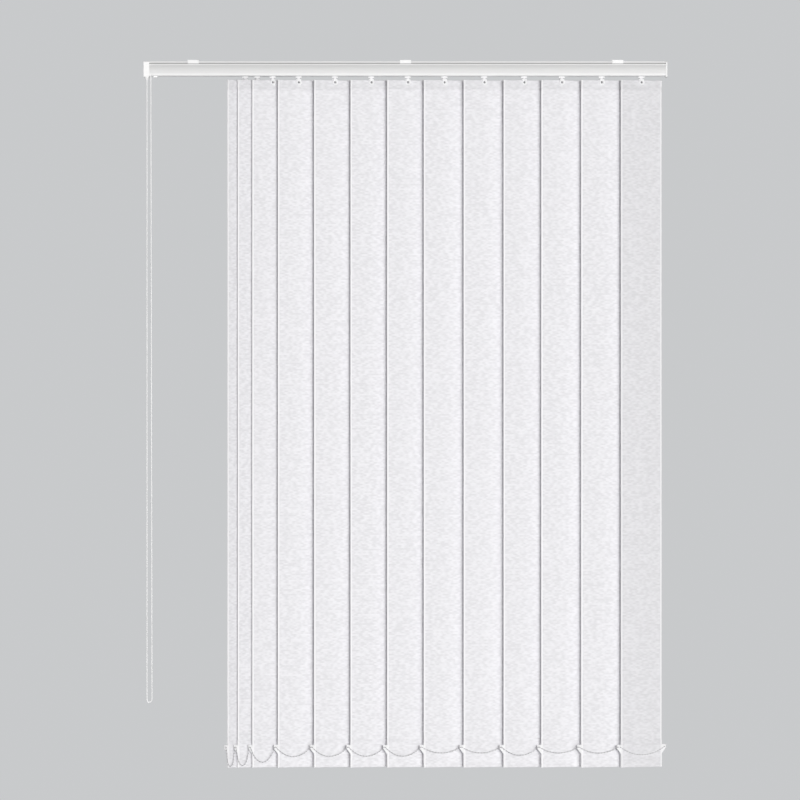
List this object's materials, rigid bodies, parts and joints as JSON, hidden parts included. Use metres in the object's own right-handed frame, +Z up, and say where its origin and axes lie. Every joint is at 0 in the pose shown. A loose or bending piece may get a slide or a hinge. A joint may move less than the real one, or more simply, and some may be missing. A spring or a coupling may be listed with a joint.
{
  "type": "vertical blind",
  "caption": "Ceiling-fixed vertical blind with a white aluminium headrail, turning fabric vanes on sliding carriers, a bottom link chain and a hanging cord loop.",
  "frame": {"origin": "centre screw hole of the middle ceiling bracket, on the ceiling plane", "axes": "+X along the rail towards the stack side, -Y towards the room, +Z up"},
  "size_m": [1.046, 0.0711, 1.4135],
  "materials": {
    "rail_paint": "satin powder coat",
    "white_plastic": "satin",
    "bracket_steel": "satin",
    "rod_metal": "mill",
    "carrier_plastic": "satin",
    "vane_fabric": "matt slub weave",
    "clear_white_plastic": "satin",
    "chain_plastic": "satin",
    "cord_white": "braided"
  },
  "bodies": {
    "rail": {"headrail": "rail_paint", "control_housing": "white_plastic", "idle_end_cap": "white_plastic", "ceiling_brackets": "bracket_steel", "control_cord": "cord_white", "carrier_13": "carrier_plastic"},
    "rod": {"tilt_rod": "rod_metal", "drive_drum": "carrier_plastic"},
    "slider_12": {"carrier_12": "carrier_plastic"},
    "slider_11": {"carrier_11": "carrier_plastic"},
    "slider_10": {"carrier_10": "carrier_plastic"},
    "slider_09": {"carrier_09": "carrier_plastic"},
    "slider_08": {"carrier_08": "carrier_plastic"},
    "slider_07": {"carrier_07": "carrier_plastic"},
    "slider_06": {"carrier_06": "carrier_plastic"},
    "slider_05": {"carrier_05": "carrier_plastic"},
    "slider_04": {"carrier_04": "carrier_plastic"},
    "slider_03": {"carrier_03": "carrier_plastic"},
    "slider_02": {"carrier_02": "carrier_plastic"},
    "slider_01": {"carrier_01": "carrier_plastic"},
    "louvre_13": {"vane_13": "vane_fabric", "fittings_13": "clear_white_plastic", "chain_13": "chain_plastic"},
    "louvre_12": {"vane_12": "vane_fabric", "fittings_12": "clear_white_plastic"},
    "louvre_11": {"vane_11": "vane_fabric", "fittings_11": "clear_white_plastic"},
    "louvre_10": {"vane_10": "vane_fabric", "fittings_10": "clear_white_plastic"},
    "louvre_09": {"vane_09": "vane_fabric", "fittings_09": "clear_white_plastic"},
    "louvre_08": {"vane_08": "vane_fabric", "fittings_08": "clear_white_plastic"},
    "louvre_07": {"vane_07": "vane_fabric", "fittings_07": "clear_white_plastic"},
    "louvre_06": {"vane_06": "vane_fabric", "fittings_06": "clear_white_plastic"},
    "louvre_05": {"vane_05": "vane_fabric", "fittings_05": "clear_white_plastic"},
    "louvre_04": {"vane_04": "vane_fabric", "fittings_04": "clear_white_plastic"},
    "louvre_03": {"vane_03": "vane_fabric", "fittings_03": "clear_white_plastic"},
    "louvre_02": {"vane_02": "vane_fabric", "fittings_02": "clear_white_plastic"},
    "louvre_01": {"vane_01": "vane_fabric", "fittings_01": "clear_white_plastic"},
    "swivel_13": {"chain_12": "chain_plastic"},
    "swivel_12": {"chain_11": "chain_plastic"},
    "swivel_11": {"chain_10": "chain_plastic"},
    "swivel_10": {"chain_09": "chain_plastic"},
    "swivel_09": {"chain_08": "chain_plastic"},
    "swivel_08": {"chain_07": "chain_plastic"},
    "swivel_07": {"chain_06": "chain_plastic"},
    "swivel_06": {"chain_05": "chain_plastic"},
    "swivel_05": {"chain_04": "chain_plastic"},
    "swivel_04": {"chain_03": "chain_plastic"},
    "swivel_03": {"chain_02": "chain_plastic"},
    "swivel_02": {"chain_01": "chain_plastic"},
    "swivel_01": {"chain_end": "chain_plastic"}
  },
  "joints": [
    {"name": "tilt_13", "type": "hinge", "parent": "rail", "child": "louvre_13", "pos_m": [0.4716, 0, -0.045], "axis": [0, 0, 1], "range_deg": [0, 118]},
    {"name": "rod_turn", "type": "hinge", "parent": "rail", "child": "rod", "pos_m": [0, 0, -0.016], "axis": [1, 0, 0], "range_deg": [-1180, 0]},
    {"name": "draw_12", "type": "slide", "parent": "rail", "child": "slider_12", "axis": [-1, 0, 0], "range_m": [-0.0604, 0.0004], "deforming": ["chain_12"]},
    {"name": "tilt_12", "type": "hinge", "parent": "slider_12", "child": "louvre_12", "pos_m": [0.3922, 0, -0.045], "axis": [0, 0, 1], "range_deg": [0, 118]},
    {"name": "draw_11", "type": "slide", "parent": "slider_12", "child": "slider_11", "axis": [-1, 0, 0], "range_m": [-0.0607, 0.0001], "deforming": ["chain_11"]},
    {"name": "tilt_11", "type": "hinge", "parent": "slider_11", "child": "louvre_11", "pos_m": [0.3125, 0, -0.045], "axis": [0, 0, 1], "range_deg": [0, 118]},
    {"name": "draw_10", "type": "slide", "parent": "slider_11", "child": "slider_10", "axis": [-1, 0, 0], "range_m": [-0.0563, 0.0045], "deforming": ["chain_10"]},
    {"name": "tilt_10", "type": "hinge", "parent": "slider_10", "child": "louvre_10", "pos_m": [0.2372, 0, -0.045], "axis": [0, 0, 1], "range_deg": [0, 118]},
    {"name": "draw_09", "type": "slide", "parent": "slider_10", "child": "slider_09", "axis": [-1, 0, 0], "range_m": [-0.0607, 0.0001], "deforming": ["chain_09"]},
    {"name": "tilt_09", "type": "hinge", "parent": "slider_09", "child": "louvre_09", "pos_m": [0.1575, 0, -0.045], "axis": [0, 0, 1], "range_deg": [0, 118]},
    {"name": "draw_08", "type": "slide", "parent": "slider_09", "child": "slider_08", "axis": [-1, 0, 0], "range_m": [-0.0607, 0.0001], "deforming": ["chain_08"]},
    {"name": "tilt_08", "type": "hinge", "parent": "slider_08", "child": "louvre_08", "pos_m": [0.0778, 0, -0.045], "axis": [0, 0, 1], "range_deg": [0, 118]},
    {"name": "draw_07", "type": "slide", "parent": "slider_08", "child": "slider_07", "axis": [-1, 0, 0], "range_m": [-0.0543, 0.0065], "deforming": ["chain_07"]},
    {"name": "tilt_07", "type": "hinge", "parent": "slider_07", "child": "louvre_07", "pos_m": [0.0045, 0, -0.045], "axis": [0, 0, 1], "range_deg": [0, 118]},
    {"name": "draw_06", "type": "slide", "parent": "slider_07", "child": "slider_06", "axis": [-1, 0, 0], "range_m": [-0.0541, 0.0067], "deforming": ["chain_06"]},
    {"name": "tilt_06", "type": "hinge", "parent": "slider_06", "child": "louvre_06", "pos_m": [-0.0686, 0, -0.045], "axis": [0, 0, 1], "range_deg": [0, 118]},
    {"name": "draw_05", "type": "slide", "parent": "slider_06", "child": "slider_05", "axis": [-1, 0, 0], "range_m": [-0.0538, 0.007], "deforming": ["chain_05"]},
    {"name": "tilt_05", "type": "hinge", "parent": "slider_05", "child": "louvre_05", "pos_m": [-0.1414, 0, -0.045], "axis": [0, 0, 1], "range_deg": [0, 118]},
    {"name": "draw_04", "type": "slide", "parent": "slider_05", "child": "slider_04", "axis": [-1, 0, 0], "range_m": [-0.0534, 0.0074], "deforming": ["chain_04"]},
    {"name": "tilt_04", "type": "hinge", "parent": "slider_04", "child": "louvre_04", "pos_m": [-0.2138, 0, -0.045], "axis": [0, 0, 1], "range_deg": [0, 118]},
    {"name": "draw_03", "type": "slide", "parent": "slider_04", "child": "slider_03", "axis": [-1, 0, 0], "range_m": [-0.033, 0.0278], "deforming": ["chain_03"]},
    {"name": "tilt_03", "type": "hinge", "parent": "slider_03", "child": "louvre_03", "pos_m": [-0.2658, 0, -0.045], "axis": [0, 0, 1], "range_deg": [0, 118]},
    {"name": "draw_02", "type": "slide", "parent": "slider_03", "child": "slider_02", "axis": [-1, 0, 0], "range_m": [-0.0118, 0.049], "deforming": ["chain_02"]},
    {"name": "tilt_02", "type": "hinge", "parent": "slider_02", "child": "louvre_02", "pos_m": [-0.2966, 0, -0.045], "axis": [0, 0, 1], "range_deg": [0, 118]},
    {"name": "draw_01", "type": "slide", "parent": "slider_02", "child": "slider_01", "axis": [-1, 0, 0], "range_m": [-0.005, 0.0558], "deforming": ["chain_01"]},
    {"name": "tilt_01", "type": "hinge", "parent": "slider_01", "child": "louvre_01", "pos_m": [-0.3206, 0, -0.045], "axis": [0, 0, 1], "range_deg": [0, 118]},
    {"name": "swivel_13", "type": "hinge", "parent": "louvre_13", "child": "swivel_13", "pos_m": [0.42561, -0.01858, -1.3726], "axis": [0, 0, 1], "range_deg": [-118, 0]},
    {"name": "chain_draw_12", "type": "slide", "parent": "swivel_13", "child": "swivel_12", "axis": [-1, 0, 0], "range_m": [-0.0604, 0.0004]},
    {"name": "chain_draw_11", "type": "slide", "parent": "swivel_12", "child": "swivel_11", "axis": [-1, 0, 0], "range_m": [-0.0607, 0.0001]},
    {"name": "chain_draw_10", "type": "slide", "parent": "swivel_11", "child": "swivel_10", "axis": [-1, 0, 0], "range_m": [-0.0563, 0.0045]},
    {"name": "chain_draw_09", "type": "slide", "parent": "swivel_10", "child": "swivel_09", "axis": [-1, 0, 0], "range_m": [-0.0607, 0.0001]},
    {"name": "chain_draw_08", "type": "slide", "parent": "swivel_09", "child": "swivel_08", "axis": [-1, 0, 0], "range_m": [-0.0607, 0.0001]},
    {"name": "chain_draw_07", "type": "slide", "parent": "swivel_08", "child": "swivel_07", "axis": [-1, 0, 0], "range_m": [-0.0543, 0.0065]},
    {"name": "chain_draw_06", "type": "slide", "parent": "swivel_07", "child": "swivel_06", "axis": [-1, 0, 0], "range_m": [-0.0541, 0.0067]},
    {"name": "chain_draw_05", "type": "slide", "parent": "swivel_06", "child": "swivel_05", "axis": [-1, 0, 0], "range_m": [-0.0538, 0.007]},
    {"name": "chain_draw_04", "type": "slide", "parent": "swivel_05", "child": "swivel_04", "axis": [-1, 0, 0], "range_m": [-0.0534, 0.0074]},
    {"name": "chain_draw_03", "type": "slide", "parent": "swivel_04", "child": "swivel_03", "axis": [-1, 0, 0], "range_m": [-0.033, 0.0278]},
    {"name": "chain_draw_02", "type": "slide", "parent": "swivel_03", "child": "swivel_02", "axis": [-1, 0, 0], "range_m": [-0.0118, 0.049]},
    {"name": "chain_draw_01", "type": "slide", "parent": "swivel_02", "child": "swivel_01", "axis": [-1, 0, 0], "range_m": [-0.005, 0.0558]}
  ],
  "couplings": [
    {"joint": "rod_turn", "follows": "tilt_13", "ratio": -10},
    {"joint": "tilt_12", "follows": "tilt_13", "ratio": 1},
    {"joint": "tilt_11", "follows": "tilt_13", "ratio": 1},
    {"joint": "tilt_10", "follows": "tilt_13", "ratio": 1},
    {"joint": "tilt_09", "follows": "tilt_13", "ratio": 1},
    {"joint": "tilt_08", "follows": "tilt_13", "ratio": 1},
    {"joint": "tilt_07", "follows": "tilt_13", "ratio": 1},
    {"joint": "tilt_06", "follows": "tilt_13", "ratio": 1},
    {"joint": "tilt_05", "follows": "tilt_13", "ratio": 1},
    {"joint": "tilt_04", "follows": "tilt_13", "ratio": 1},
    {"joint": "tilt_03", "follows": "tilt_13", "ratio": 1},
    {"joint": "tilt_02", "follows": "tilt_13", "ratio": 1},
    {"joint": "tilt_01", "follows": "tilt_13", "ratio": 1},
    {"joint": "swivel_13", "follows": "tilt_13", "ratio": -1},
    {"joint": "chain_draw_12", "follows": "draw_12", "ratio": 1},
    {"joint": "chain_draw_11", "follows": "draw_11", "ratio": 1},
    {"joint": "chain_draw_10", "follows": "draw_10", "ratio": 1},
    {"joint": "chain_draw_09", "follows": "draw_09", "ratio": 1},
    {"joint": "chain_draw_08", "follows": "draw_08", "ratio": 1},
    {"joint": "chain_draw_07", "follows": "draw_07", "ratio": 1},
    {"joint": "chain_draw_06", "follows": "draw_06", "ratio": 1},
    {"joint": "chain_draw_05", "follows": "draw_05", "ratio": 1},
    {"joint": "chain_draw_04", "follows": "draw_04", "ratio": 1},
    {"joint": "chain_draw_03", "follows": "draw_03", "ratio": 1},
    {"joint": "chain_draw_02", "follows": "draw_02", "ratio": 1},
    {"joint": "chain_draw_01", "follows": "draw_01", "ratio": 1}
  ]
}
